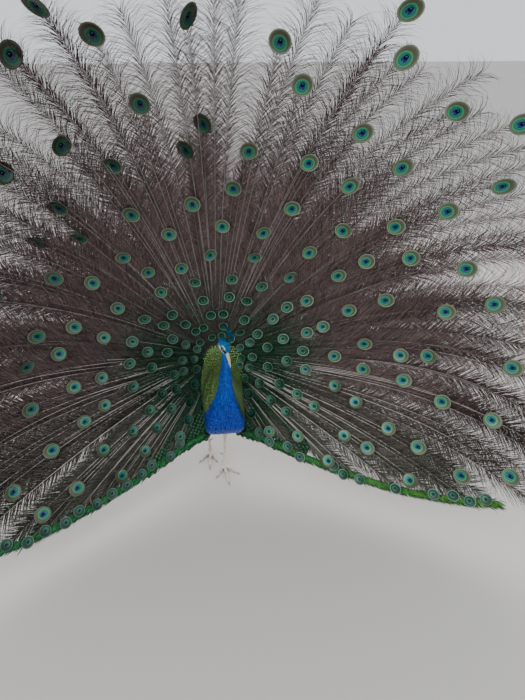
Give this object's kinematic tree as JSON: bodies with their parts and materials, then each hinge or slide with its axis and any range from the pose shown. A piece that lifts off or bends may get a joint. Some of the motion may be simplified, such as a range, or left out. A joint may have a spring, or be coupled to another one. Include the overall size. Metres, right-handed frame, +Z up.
{
  "type": "displaying peacock model",
  "caption": "Life-size still model of a male Indian peafowl in full display: fanned, forward-leaning train, cobalt neck and breast, bare legs in a stepping stance.",
  "frame": {"origin": "the middle of the bounding box's underside, at floor level between the spread train's edges", "axes": "+Z up, the bird faces -Y and its left side is +X"},
  "size_m": [2.259, 1.0692, 1.7774],
  "materials": {
    "horn": "satin",
    "blue_plumage": "satin",
    "crest_plumage": "satin",
    "eye": "gloss",
    "leg_scales": "satin",
    "scaled_plumage": "satin",
    "tail_plumage": "matte",
    "thigh_plumage": "matte",
    "train_plumage": "satin",
    "wing_plumage": "matte"
  },
  "bodies": {
    "root": {"bill_lower": "horn", "bill_upper": "horn", "breast": "blue_plumage", "claw_left_1": "horn", "claw_left_2": "horn", "claw_left_3": "horn", "claw_left_4": "horn", "claw_right_1": "horn", "claw_right_2": "horn", "claw_right_3": "horn", "claw_right_4": "horn", "crest": "crest_plumage", "eye_left": "eye", "eye_right": "eye", "foot_left": "leg_scales", "foot_right": "leg_scales", "head": "blue_plumage", "neck_lower": "blue_plumage", "neck_upper": "blue_plumage", "rump": "scaled_plumage", "shank_left": "leg_scales", "shank_right": "leg_scales", "spur_left": "horn", "spur_right": "horn", "tail": "tail_plumage", "thigh_left": "thigh_plumage", "thigh_right": "thigh_plumage", "train_01": "train_plumage", "train_02": "train_plumage", "train_03": "train_plumage", "train_04": "train_plumage", "train_05": "train_plumage", "train_06": "train_plumage", "train_07": "train_plumage", "train_08": "train_plumage", "train_09": "train_plumage", "train_10": "train_plumage", "train_11": "train_plumage", "train_12": "train_plumage", "train_13": "train_plumage", "train_14": "train_plumage", "train_15": "train_plumage", "train_16": "train_plumage", "train_17": "train_plumage", "train_18": "train_plumage", "train_19": "train_plumage", "train_20": "train_plumage", "train_21": "train_plumage", "trunk": "scaled_plumage", "wing_left": "wing_plumage", "wing_right": "wing_plumage"}
  },
  "joints": []
}
